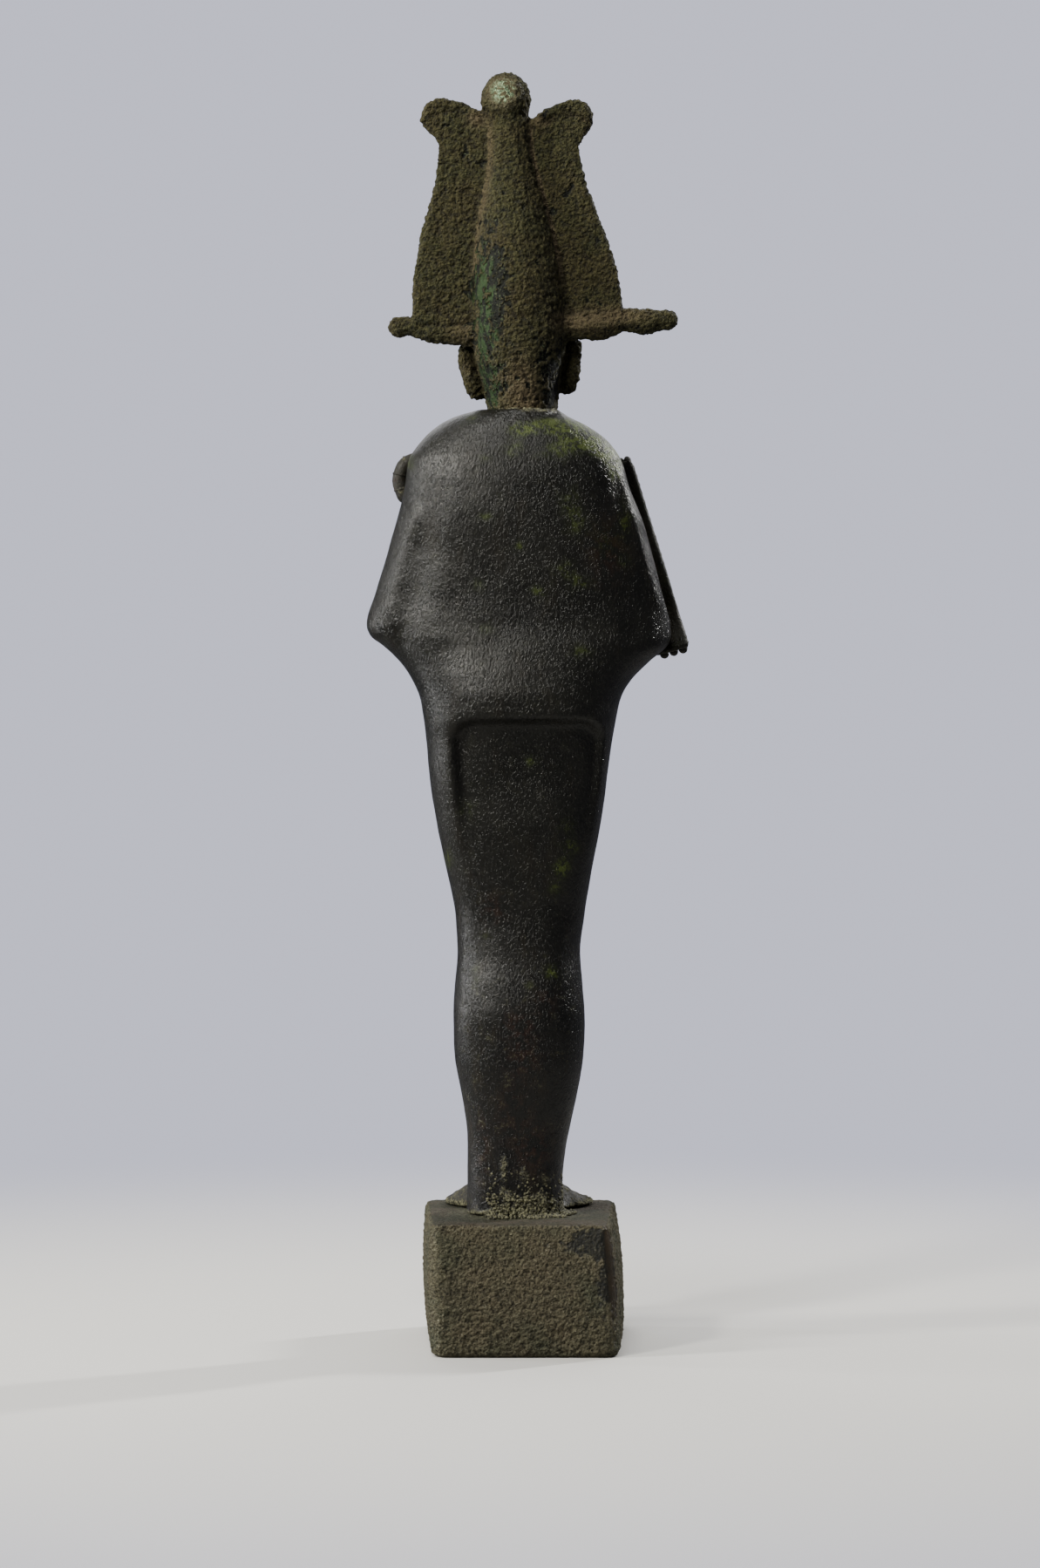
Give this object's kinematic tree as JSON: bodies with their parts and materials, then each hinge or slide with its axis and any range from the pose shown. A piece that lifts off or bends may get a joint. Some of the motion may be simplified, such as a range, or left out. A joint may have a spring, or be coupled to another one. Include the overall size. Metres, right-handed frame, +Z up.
{
  "type": "osiris statue",
  "caption": "Standing bronze Osiris in a tight shroud, with crook, flail and a tall feathered and horned crown, on its own block-shaped base.",
  "frame": {"origin": "centre of the base's underside", "axes": "+Z up from the underside to the crown; the figure faces -Y, and +X is the figure's left, the side of the crook"},
  "size_m": [0.139, 0.1024, 0.5499],
  "materials": {
    "figure_bronze": "dark brown-black patina, polished in places, olive-brown crust on the crown",
    "base_bronze": "granular grey-brown corrosion"
  },
  "bodies": {
    "root": {"figure": "figure_bronze", "base": "base_bronze"}
  },
  "joints": []
}
